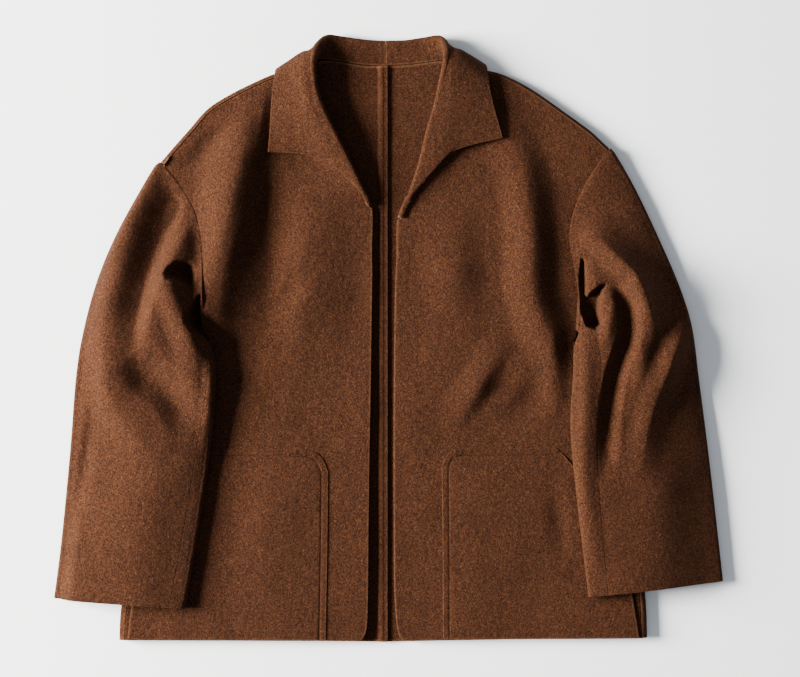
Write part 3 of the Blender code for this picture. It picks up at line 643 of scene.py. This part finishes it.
def front_grid(side):
    """Outer face of a front panel and its half of the collar, cut in one."""
    neck = np.asarray(NECK_SECTIONS[side], float)
    body = np.asarray(FRONT_SECTIONS[side], float)
    edges = np.vstack([body[:, 3:7], neck[:, 3:7]])
    rows = row_numbers(np.vstack([body[:, 1:3], neck[:, 3:5]]), [0, 1], STEP)
    shoulder_row = int(np.argmin(np.abs(rows - len(body))))
    fractions = stops(PANEL_WIDTH, STEP, FINE_SIDE)
    seam = inset_line(SHOULDER[side][::-1], -SHOULDER_SEAM_INSET - SIDE_GAP, fractions)
    seam[-1] = neck[0, :2]
    joined = np.vstack([body, [[seam[0, 1], *neck[0, :2], *neck[0, 3:7]]]])
    edge = smooth_rows(edges, rows)
    bulge = seam - (seam[0] + (seam[-1] - seam[0]) * fractions[:, None])

    outward = np.column_stack([rightward(edge[:, :2]), np.zeros(len(rows))])
    up = np.array([0.0, 0.0, 1.0])
    turn = np.radians(edge[:, 3])[:, None]
    across = np.cos(turn) * up + np.sin(turn) * outward
    tip_way = -np.cos(turn) * outward + np.sin(turn) * up

    low_rows = rows[:shoulder_row + 1]
    low = smooth_rows(joined[:, 1:3], low_rows)
    outer = front_outline(side, smooth_rows(joined[:, 0:1], low_rows)[:, 0])
    outer[-1] = seam[0]
    rise = ease((low_rows - SHOULDER_START_ROW) / (len(body) - SHOULDER_START_ROW))
    plan = outer[:, None] + (low - outer)[:, None] * fractions[:, None] + bulge * rise[:, None, None]
    height = front_height(side, plan[..., 0], plan[..., 1])
    near_shoulder = ease((low_rows - len(body)) / SHOULDER_BLEND_ROWS + 1)[:, None]
    shoulder_height = LEVEL + (height[:, -1:] - LEVEL) * fractions ** SHOULDER_BLEND_POWER
    height = height * (1 - near_shoulder) + shoulder_height * near_shoulder
    guides = np.zeros((len(rows), 3))
    guides[:shoulder_row + 1, :2] = plan[:, -1]
    guides[:shoulder_row + 1, 2] = height[:, -1]
    guides[shoulder_row:] = smooth_rows(neck[:, :3], rows[shoulder_row:] - len(body))

    folded = rows >= BREAK_SECTION
    roll_angles = np.radians(np.linspace(-ROLL_REACH, ROLL_REACH, ROLL_STEPS))
    leaf_shares = stops(LEAF_WIDTH, STEP, end=FINE_EDGE)
    away = plan[:, 0] - plan[:, 1]
    away /= np.linalg.norm(away, axis=1)[:, None]
    tucked = len(SEAM_TUCK)
    panel = tucked + len(fractions) - 1
    roll = panel + GUIDE_STEPS + 1
    columns = roll + ROLL_STEPS + len(leaf_shares)
    grid = np.full((len(rows), columns, 3), np.nan)
    for number, (reach, drop) in enumerate(SEAM_TUCK):
        grid[:shoulder_row + 1, number, :2] = plan[:, 0] + reach * away
        grid[:shoulder_row + 1, number, 2] = height[:, 0] - drop
    grid[:shoulder_row + 1, tucked:panel, :2] = plan[:, :-1]
    grid[:shoulder_row + 1, tucked:panel, 2] = height[:, :-1]
    below_break = ease(rows - BREAK_SECTION + 1) * (rows < BREAK_SECTION)
    edge[:, 0] -= (ROLL_RADIUS + WALL) * below_break
    near_break = ease(BREAK_SECTION + 1 - rows) * (rows >= BREAK_SECTION)
    edge[:, 2] -= BREAK_SINK * near_break
    shares = np.linspace(0, 1, GUIDE_STEPS + 1)[:, None]
    for number in range(len(rows)):
        centre = edge[number, :3]
        end = centre - ROLL_RADIUS * across[number] if folded[number] else np.array([*centre[:2], 0.0])
        line = guides[number] + (end - guides[number]) * shares
        grid[number, panel:roll] = line
        if not folded[number]:
            grid[number, panel:roll, 2] = front_height(side, line[:, 0], line[:, 1])
            continue
        for step, angle in enumerate(roll_angles):
            turned = np.sin(angle) * across[number] + np.cos(angle) * tip_way[number]
            grid[number, roll + step] = centre + ROLL_RADIUS * turned
        leaf = smooth_rows(LEAF_SECTIONS[side], [rows[number] - BREAK_SECTION])[0].reshape(3, 3)
        start = centre + ROLL_RADIUS * across[number]
        corner = start + LAPEL_TURN_SHARE * (leaf[0] - start)
        corner += near_break[number] * np.array([*LAPEL_CORNER[side], -BREAK_SINK / 2])
        grid[number, roll + ROLL_STEPS:] = along(np.vstack([start, corner, leaf]), leaf_shares)
    return grid


def back_base(side, q, y):
    """Height of the underside of a back panel, which passes over the collar leaf."""
    leaf = np.asarray(LEAF_SECTIONS[side])[LEAF_UNDER_ROW:]
    edge_y = np.interp(q, leaf[::-1, 6], leaf[::-1, 7])
    inwards = ease((LEAF_COVER_OUT - q) / LEAF_COVER_FADE)
    return LEAF_COVER * ease((y - edge_y + LEAF_COVER_START) / LEAF_COVER_RAMP) * inwards


def lap(side, q):
    """Height of the lapped seam down the middle of the back."""
    if side == "right":
        return np.zeros_like(q)
    return (WALL + SEAM_GAP) * ease((LAP_FOOT - q) / (LAP_FOOT - LAP_CLEAR))


def wrap_round(angles, inset):
    """Reach out and share of the height at steps round a half circle that ends at a seam."""
    for angle in angles:
        reach = WRAP_RADIUS * np.sin(angle) if angle < math.pi else WRAP_RADIUS - inset
        yield reach, (1 - np.cos(angle)) / 2


def back_surface(side):
    """Outer face of a back panel, which rounds the side and the shoulder."""
    low = along(SIDE[side][::-1], stops(BACK_SIDE_LENGTH, STEP))
    high = along(ARMHOLE[side][::-1], stops(BACK_ARMHOLE_LENGTH, STEP))[1:]
    outer = np.vstack([low, high])
    middle = np.linspace(BACK_HEM, BACK_NECK_CENTRE, len(outer))
    neck = along(BACK_NECK[side], stops(BACK_NECK_LENGTH, STEP))[:-1]
    shoulder = along(SHOULDER[side], stops(BACK_SHOULDER_LENGTH, STEP))
    top = np.vstack([neck, shoulder])
    lap_columns = np.array(LAP_COLUMNS[side])
    fractions = np.linspace(0, 1, len(top))
    bulge = top - (top[0] + (top[-1] - top[0]) * fractions[:, None])
    angles = np.radians(WRAP_ANGLES)
    away_side = rightward(outer)
    away_top = -rightward(top)
    last = len(outer) - 1
    first = len(lap_columns) - 1
    neck_end = first + len(neck)
    wrap = first + len(top)
    grid = np.full((len(outer) + len(angles), wrap + len(angles), 3), np.nan)
    for number, end in enumerate(outer):
        share = ease((number / last - BULGE_START) / (1 - BULGE_START))
        start = np.array([lap_columns[-1], middle[number]])
        plan = start + (end - start) * fractions[:, None] + bulge * share
        away = away_side[number]
        if number < len(low):
            side_pull = ease((fractions - SIDE_PULL_START) / (1 - SIDE_PULL_START))
            plan -= side_pull[:, None] * WRAP_RADIUS * away
        if number == last:
            plan = top.copy()
        top_pull = ease((number - last) / TOP_PULL_ROWS + 1)
        plan[len(neck):] -= WRAP_RADIUS * away_top[len(neck):] * top_pull
        inner = np.stack([lap_columns[:-1], np.full(first, middle[number])], axis=1)
        plan = np.vstack([inner, plan])
        grid[number, :wrap, :2] = plan
        grid[number, :wrap, 2] = back_base(side, plan[:, 0], plan[:, 1]) + lap(side, plan[:, 0])
        if number < len(low):
            for step, (reach, rise) in enumerate(wrap_round(angles, SIDE_SEAM_INSET)):
                grid[number, wrap + step, :2] = plan[-1] + away * reach
                grid[number, wrap + step, 2] = LEVEL * rise
    grid[last, :neck_end, 2] += NECK_ALLOWANCE_RISE
    edge = grid[last, neck_end:wrap]
    for step, (reach, rise) in enumerate(wrap_round(angles, SHOULDER_SEAM_INSET)):
        grid[last + 1 + step, neck_end:wrap, :2] = edge[:, :2] + away_top[len(neck):] * reach
        grid[last + 1 + step, neck_end:wrap, 2] = edge[:, 2] + (LEVEL - edge[:, 2]) * rise
    return grid


def sleeve_base(side, q, y, level):
    """Height that the body adds to a sleeve: a short ramp underneath and a long one on top."""
    gap = line_distance(q, y, SIDE[side])[0]
    edge = np.asarray(SIDE[side])
    edge_q = np.interp(-y, -edge[:, 1], edge[:, 0])
    outside = np.where((q > edge_q) | (y > 0), gap, -gap)
    under = 1 - ease((outside - SLEEVE_RAMP_START) / SLEEVE_RAMP)
    over = 1 - ease((outside - SLEEVE_TOP_RAMP_START) / SLEEVE_TOP_RAMP)
    return SLEEVE_OVER_BODY * (under + (over - under) * level)


def sleeve_level(length, seam):
    """Places round a sleeve ring: distance from its outer edge, share of its height, top or not."""
    radius = SLEEVE_EDGE / 2
    top_end = length - seam
    places = []
    for place in (*SEAM_FINE, *np.linspace(SEAM_FINE[-1], seam - radius, UNDERLAP_POINTS)[1:-1]):
        places.append((top_end + place, 1.0))
    for angle in np.linspace(0, math.pi, TURN_POINTS):
        places.append((length - radius + radius * math.sin(angle), (1 + math.cos(angle)) / 2))
    for share in np.linspace(0, 1, LOWER_POINTS)[1:-1]:
        places.append((length - radius - (length - 2 * radius) * share, 0.0))
    for angle in np.linspace(0, math.pi, TURN_POINTS):
        places.append((radius - radius * math.sin(angle), (1 - math.cos(angle)) / 2))
    reach = top_end - SEAM_GAP - radius - SEAM_FINE[-1]
    for share in np.linspace(0, 1, UPPER_POINTS)[1:]:
        places.append((radius + reach * share * (1 + CROWDING * (1 - share)), 1.0))
    places.append((top_end - SEAM_GAP - SEAM_FINE[1], 1.0))
    places.append((top_end - SEAM_GAP, 1.0))
    return np.array(places)


def sleeve_grid(side):
    """Outer face of a sleeve, open along its underarm seam."""
    armhole = inset_line(ARMHOLE[side], -ARMHOLE_GAP, np.linspace(0, UNDERARM_STOP, ARMHOLE_POINTS))
    head = armhole[0]
    foot = armhole[-1]
    table = np.vstack([[(*head, *foot, *HEAD_RING)], SLEEVE_RINGS[side]])
    rows = row_numbers((table[:, 0:2] + table[:, 2:4]) / 2, [0, 1], SLEEVE_STEPS)
    grid = []
    radius = SLEEVE_EDGE / 2
    for ring in smooth_rows(table, rows):
        outer = ring[0:2]
        inner = ring[2:4]
        length = np.linalg.norm(inner - outer)
        bow, puff, seam = ring[4:7]
        level = sleeve_level(length, seam)
        share = np.clip(level[:, 0] / length, 0, 1)
        plan = outer + (inner - outer) * (level[:, 0] / length)[:, None]
        curve = along(armhole, share)
        chord = head + (foot - head) * share[:, None]
        plan = plan + bow * (curve - chord)
        across = np.clip((level[:, 0] - radius) / (length - 2 * radius), 0, 1)
        swell = puff * np.sin(np.pi * across) ** PUFF_POWER
        grid.append(np.column_stack([plan, level[:, 1], swell]))
    grid = np.array(grid)
    q, y, top, swell = np.moveaxis(grid, -1, 0)
    waves = unevenness(q, y, SLEEVE_WAVE_SEED + SIGN[side])
    gap = line_distance(q, y, ARMHOLE[side])[0]
    joined = (1 - ease(gap / SEAM_JOIN)) * ease(y / JOIN_RAMP)
    folds = fold_height(SIGN[side] * q, y, SLEEVE_FOLDS[side]) * (1 - joined ** 2)
    folds += pit_height(SIGN[side] * q, y, SLEEVE_PITS[side])
    swell = swell + (front_height(side, q, y) - LEVEL + SEAM_PROUD) * joined
    cuff = ease(np.abs(y - grid[-1, :, 1]) / CUFF_RAMP)
    height = sleeve_base(side, q, y, top) + top * SLEEVE_EDGE + top ** 3 * (swell + folds + waves * cuff)
    lowest = sleeve_base(side, q, y, 0.0) + top * (2 * WALL + LAYER_CLEAR)
    surface = np.stack([q, y, np.maximum(height, lowest)], axis=-1)
    inward = surface[0, :, :2] - surface[1, :, :2]
    inward /= np.linalg.norm(inward, axis=1)[:, None]
    tucked = surface[0].copy()
    tucked[:, :2] += HEAD_TUCK * inward
    tucked[:, 2] = (WRAP_RADIUS + tucked[:, 2]) / 2
    return np.concatenate([tucked[None], surface])


def pocket_grid(side):
    """Underside of a patch pocket, a little above its front panel."""
    rows = row_numbers(POCKET_SECTIONS[side], [0, 1], POCKET_STEPS)
    across = stops(POCKET_WIDTH, STEP, FINE_STITCH)[:, None]
    sections = smooth_rows(POCKET_SECTIONS[side], rows)[:, None]
    grid = sections[..., 0:2] + (sections[..., 2:4] - sections[..., 0:2]) * across
    edge = np.vstack([grid[:-1, 0], grid[-1]])
    gap = line_distance(grid[..., 0], grid[..., 1], edge, smooth=False)[0]
    pressed = POCKET_PRESS * (1 - ease(gap / POCKET_PRESS_REACH))
    pressed += STITCH_SINK * np.exp(-((gap - STITCH_INSET) / GROOVE_WIDTH) ** 2)
    height = front_height(side, grid[..., 0], grid[..., 1]) + SEAM_GAP - pressed
    return np.concatenate([grid, height[..., None]], axis=-1)


def grid_cells(grid):
    """The points of a grid that are there, and the cells whose four corners are there."""
    present = ~np.isnan(grid[..., 0])
    return present, present[:-1, :-1] & present[:-1, 1:] & present[1:, 1:] & present[1:, :-1]


def cloth_mesh(name, side, grid, outward, thickness_side=-1.0, thickness=WALL):
    """A piece of cloth: an open surface with a wall's thickness on one side."""
    present, whole = grid_cells(grid)
    index = np.cumsum(present.ravel()).reshape(present.shape) - 1
    places = grid[present] * (SIGN[side] * MM, MM, MM)
    corners = np.stack([index[:-1, :-1], index[:-1, 1:], index[1:, 1:], index[1:, :-1]], axis=-1)
    faces = corners[whole]
    if outward * SIGN[side] < 0:
        faces = faces[:, ::-1]
    mesh = bpy.data.meshes.new(name)
    mesh.from_pydata(places.tolist(), [], faces.tolist())
    mesh.shade_smooth()
    piece = bpy.data.objects.new(name, mesh)
    bpy.context.scene.collection.objects.link(piece)
    wall = piece.modifiers.new("wall", "SOLIDIFY")
    wall.thickness = thickness * MM
    wall.offset = thickness_side
    # The rims and the bevels take the second material, the painted highlight of the cut edges
    wall.material_offset_rim = 1
    edge = piece.modifiers.new("edge", "BEVEL")
    edge.width = EDGE_BEVEL * MM
    edge.segments = EDGE_SEGMENTS
    edge.limit_method = "ANGLE"
    edge.angle_limit = math.radians(EDGE_ANGLE)
    edge.material = 1
    return piece


def stitch_distance(piece, side, line=()):
    """Keeps with the mesh each point's distance in millimetres to a line of stitches, if it has one."""
    mesh = piece.data
    places = np.empty(len(mesh.vertices) * 3)
    mesh.vertices.foreach_get("co", places)
    places = places.reshape(-1, 3) / MM
    gap = np.full(len(places), NO_STITCH)
    if len(line):
        near = line_distance(SIGN[side] * places[:, 0], places[:, 1], line, smooth=False)[0]
        gap = np.minimum(gap, near)
    attribute = mesh.attributes.new("stitch", "FLOAT", "POINT")
    attribute.data.foreach_set("value", gap)


def highlight_raw_edges(piece, grid):
    """Marks the points on the cut edges of a piece, which get a painted highlight that makes them paler."""
    present, whole = grid_cells(grid)
    touching = np.zeros(present.shape)
    touching[:-1, :-1] += whole
    touching[:-1, 1:] += whole
    touching[1:, 1:] += whole
    touching[1:, :-1] += whole
    # Share of the painted highlight: 1 on the cut edges, 0 elsewhere
    attribute = piece.data.attributes.new("raw_edge_highlight", "FLOAT", "POINT")
    attribute.data.foreach_set("value", (touching[present] < 4).astype(float))


def felt(name, edge=False):
    """Thick felted wool: brown ground, rust and ochre fibres, darker flecks and a soft nap. With edge set,
    the colour is mixed paler as the painted highlight of the cut edges.
    """
    material = bpy.data.materials.new(name)
    material.use_nodes = True
    tree = material.node_tree
    nodes = tree.nodes
    links = tree.links
    shader = nodes["Principled BSDF"]
    shader.inputs["Roughness"].default_value = 0.93
    shader.inputs["Metallic"].default_value = 0.0
    shader.inputs["Specular IOR Level"].default_value = 0.06
    shader.inputs["Sheen Weight"].default_value = 0.02
    shader.inputs["Sheen Roughness"].default_value = 0.5
    shader.inputs["Sheen Tint"].default_value = (0.75, 0.50, 0.34, 1.0)
    coordinates = nodes.new("ShaderNodeTexCoord")

    def texture(scale, detail=2.0, rough=0.5, stretch=(1.0, 1.0, 1.0), turn=0.0, warp=0.0):
        mapping = nodes.new("ShaderNodeMapping")
        mapping.inputs["Scale"].default_value = stretch
        mapping.inputs["Rotation"].default_value = (0.0, 0.0, turn)
        links.new(coordinates.outputs["Object"], mapping.inputs["Vector"])
        cloud = nodes.new("ShaderNodeTexNoise")
        cloud.inputs["Scale"].default_value = scale
        cloud.inputs["Detail"].default_value = detail
        cloud.inputs["Roughness"].default_value = rough
        cloud.inputs["Distortion"].default_value = warp
        links.new(mapping.outputs["Vector"], cloud.inputs["Vector"])
        return cloud.outputs["Fac"]

    def ramp(source, *colours):
        node = nodes.new("ShaderNodeValToRGB")
        node.color_ramp.elements[0].position = colours[0][0]
        node.color_ramp.elements[0].color = (*colours[0][1], 1.0)
        node.color_ramp.elements[1].position = colours[-1][0]
        node.color_ramp.elements[1].color = (*colours[-1][1], 1.0)
        for position, colour in colours[1:-1]:
            node.color_ramp.elements.new(position).color = (*colour, 1.0)
        links.new(source, node.inputs["Fac"])
        return node.outputs["Color"]

    def mix(kind, share, first, second):
        node = nodes.new("ShaderNodeMix")
        node.data_type = "RGBA"
        node.blend_type = kind
        if isinstance(share, float):
            node.inputs["Factor"].default_value = share
        else:
            links.new(share, node.inputs["Factor"])
        links.new(first, node.inputs["A"])
        links.new(second, node.inputs["B"])
        return node.outputs["Result"]

    def math_node(kind, first, second):
        node = nodes.new("ShaderNodeMath")
        node.operation = kind
        for socket, value in zip(node.inputs, (first, second)):
            if isinstance(value, float):
                socket.default_value = value
            else:
                links.new(value, socket)
        return node.outputs[0]

    def bump(strength, depth, height):
        node = nodes.new("ShaderNodeBump")
        node.inputs["Strength"].default_value = strength
        node.inputs["Distance"].default_value = depth
        links.new(height, node.inputs["Height"])
        return node

    clumps = texture(CLUMP_SCALE, rough=0.7, warp=0.5)
    mottle = texture(MOTTLE_SCALE, detail=3.0, rough=0.6)
    colour = mix("OVERLAY", 1.0, ramp(clumps, *GROUND), ramp(mottle, *MOTTLE))
    fibres = {}
    for kind, (scale, turn, start, full, shaded, lit, share) in FIBRES.items():
        fibres[kind] = texture(scale, detail=1.0, stretch=FIBRE_STRETCH, turn=turn, warp=FIBRE_WARP)
        cover = ramp(fibres[kind], (start, BLACK), (full, WHITE))
        tint = ramp(clumps, (0.0, shaded), (1.0, lit))
        colour = mix("MIX", math_node("MULTIPLY", cover, share), colour, tint)

    stitch = nodes.new("ShaderNodeAttribute")
    stitch.attribute_name = "stitch"
    gap = math_node("DIVIDE", stitch.outputs["Fac"], GROOVE_WIDTH)
    channel = math_node("SUBTRACT", 1.0, math_node("MINIMUM", math_node("MULTIPLY", gap, gap), 1.0))
    # Painted highlight: the cut edges, their rims and bevels are mixed towards paler colours, standing in
    # for the light that catches them
    painted_highlight = ramp(clumps, *HIGHLIGHT_COLOURS)
    if edge:
        colour = mix("MIX", EDGE_HIGHLIGHT_SHARE, colour, painted_highlight)
    else:
        raw_edge_highlight = nodes.new("ShaderNodeAttribute")
        raw_edge_highlight.attribute_name = "raw_edge_highlight"
        colour = mix("MIX", math_node("MULTIPLY", raw_edge_highlight.outputs["Fac"], RAW_LINE_HIGHLIGHT_SHARE), colour, painted_highlight)
        colour = mix("MULTIPLY", 1.0, colour, ramp(channel, *GROOVE_SHADE))
    links.new(colour, shader.inputs["Base Color"])

    fibre_relief = math_node("ADD", fibres["ochre"], math_node("MULTIPLY", fibres["russet"], RUSSET_RELIEF))
    relief = math_node("ADD", math_node("MULTIPLY", clumps, CLUMP_RELIEF), fibre_relief)
    nap = bump(*NAP_RELIEF, relief)
    dents = bump(*DENT_RELIEF, texture(DENT_SCALE))
    links.new(nap.outputs["Normal"], dents.inputs["Normal"])
    links.new(dents.outputs["Normal"], shader.inputs["Normal"])
    return material


def add_front(side, wool, highlit_cut_edge):
    """A front panel, with its stitch line at the side."""
    grid = front_grid(side)
    piece = cloth_mesh("front_cloth_" + side, side, grid, outward=-1)
    highlight_raw_edges(piece, grid)
    seam = inset_line(SIDE[side][::-1], -SIDE_STITCH_INSET, np.linspace(0, 1, SIDE_STITCH_POINTS))
    stitch_distance(piece, side, seam)
    finish_cloth(piece, "front_" + side, wool, highlit_cut_edge)


def add_back(side, wool, highlit_cut_edge):
    """A back panel. The left one carries the stitches of the lap."""
    grid = back_surface(side)
    piece = cloth_mesh("back_cloth_" + side, side, grid, outward=-1)
    highlight_raw_edges(piece, grid)
    stitched = ((LAP_STITCH, BACK_HEM), (LAP_STITCH, BACK_NECK_CENTRE)) if side == "left" else ()
    stitch_distance(piece, side, stitched)
    finish_cloth(piece, "back_" + side, wool, highlit_cut_edge)


def add_sleeve(side, wool, highlit_cut_edge):
    """A sleeve, with no stitches on show."""
    piece = cloth_mesh("sleeve_cloth_" + side, side, sleeve_grid(side), outward=1)
    stitch_distance(piece, side)
    finish_cloth(piece, "sleeve_" + side, wool, highlit_cut_edge)


def add_pocket(side, wool, highlit_cut_edge):
    """A patch pocket, stitched inside its edge."""
    grid = pocket_grid(side)
    piece = cloth_mesh("pocket_cloth_" + side, side, grid, outward=1, thickness_side=1.0,
                       thickness=POCKET_WALL)
    highlight_raw_edges(piece, grid)
    last = len(POCKET_SECTIONS[side]) - 1
    table = smooth_rows(POCKET_SECTIONS[side], np.linspace(0, last, POCKET_EDGE_POINTS))
    outline = np.vstack([table[:, 0:2], table[-1:, 2:4]])
    stitched = inset_line(outline, STITCH_INSET, np.linspace(0, 1, POCKET_STITCH_POINTS))
    stitch_distance(piece, side, stitched)
    finish_cloth(piece, "pocket_" + side, wool, highlit_cut_edge)


def finish_cloth(piece, node, wool, highlit_cut_edge):
    """Material, body, slot and cut of a piece of cloth that stands for a node; its second material is the
    painted highlight of the cut edges.
    """
    piece.data.materials.append(wool)
    piece.data.materials.append(highlit_cut_edge)
    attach(piece, "root")
    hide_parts(node)


def add_floor():
    """A plain pale surface under the jacket."""
    reach = 6.0
    drop = 0.0004
    albedo = 0.96
    corners = [(-reach, -reach, 0.0), (reach, -reach, 0.0), (reach, reach, 0.0), (-reach, reach, 0.0)]
    mesh = bpy.data.meshes.new("floor")
    mesh.from_pydata(corners, [], [(0, 1, 2, 3)])
    floor = bpy.data.objects.new("floor", mesh)
    floor.location.z = -drop
    bpy.context.scene.collection.objects.link(floor)
    material = bpy.data.materials.new("floor_paper")
    material.use_nodes = True
    shader = material.node_tree.nodes["Principled BSDF"]
    shader.inputs["Base Color"].default_value = (albedo, albedo, albedo, 1.0)
    shader.inputs["Roughness"].default_value = 0.9
    shader.inputs["Specular IOR Level"].default_value = 0.1
    mesh.materials.append(material)


def add_light(name, direction, elevation, distance, size, power, colour):
    """A soft square light in a direction round the jacket, aimed at its middle."""
    lamp = bpy.data.lights.new(name, "AREA")
    lamp.size = size
    lamp.energy = power
    lamp.color = colour
    light = bpy.data.objects.new(name, lamp)
    turn = math.radians(direction)
    lift = math.radians(elevation)
    level = math.cos(lift)
    place = Vector((math.cos(turn) * level, math.sin(turn) * level, math.sin(lift))) * distance
    light.location = place
    light.rotation_euler = (-place).to_track_quat("-Z", "Y").to_euler()
    bpy.context.scene.collection.objects.link(light)


def add_lights():
    """Low soft light from the left and a weak even fill."""
    add_light("key", direction=176, elevation=22.5, distance=3.2, size=1.35, power=980.0,
              colour=(1.0, 0.985, 0.96))
    world = bpy.data.worlds.new("studio")
    world.use_nodes = True
    background = world.node_tree.nodes["Background"]
    background.inputs["Color"].default_value = (0.85, 0.92, 1.0, 1.0)
    background.inputs["Strength"].default_value = 0.46
    bpy.context.scene.world = world


def add_camera():
    """A long lens straight above, level with the photograph's frame."""
    lens = 100.0
    film = 36.0
    view_width = 0.848
    view_middle = (0.0122, -0.0005)
    face_height = 0.012
    data = bpy.data.cameras.new("camera")
    data.lens = lens
    data.sensor_width = film
    camera = bpy.data.objects.new("camera", data)
    camera.location = (*view_middle, face_height + view_width * lens / film)
    camera.rotation_euler = (0.0, 0.0, 0.0)
    bpy.context.scene.collection.objects.link(camera)
    bpy.context.scene.camera = camera


def main():
    """The scene and the cloth that stands for the solids."""
    add_camera()
    add_lights()
    add_floor()
    wool = felt("felted_wool")
    # Painted highlight for the cut edges: the same wool mixed paler
    highlit_cut_edge = felt("felted_wool_cut_edge", edge=True)
    for side in SIDES:
        add_back(side, wool, highlit_cut_edge)
        add_front(side, wool, highlit_cut_edge)
        add_sleeve(side, wool, highlit_cut_edge)
        add_pocket(side, wool, highlit_cut_edge)
    bpy.context.view_layer.update()


main()
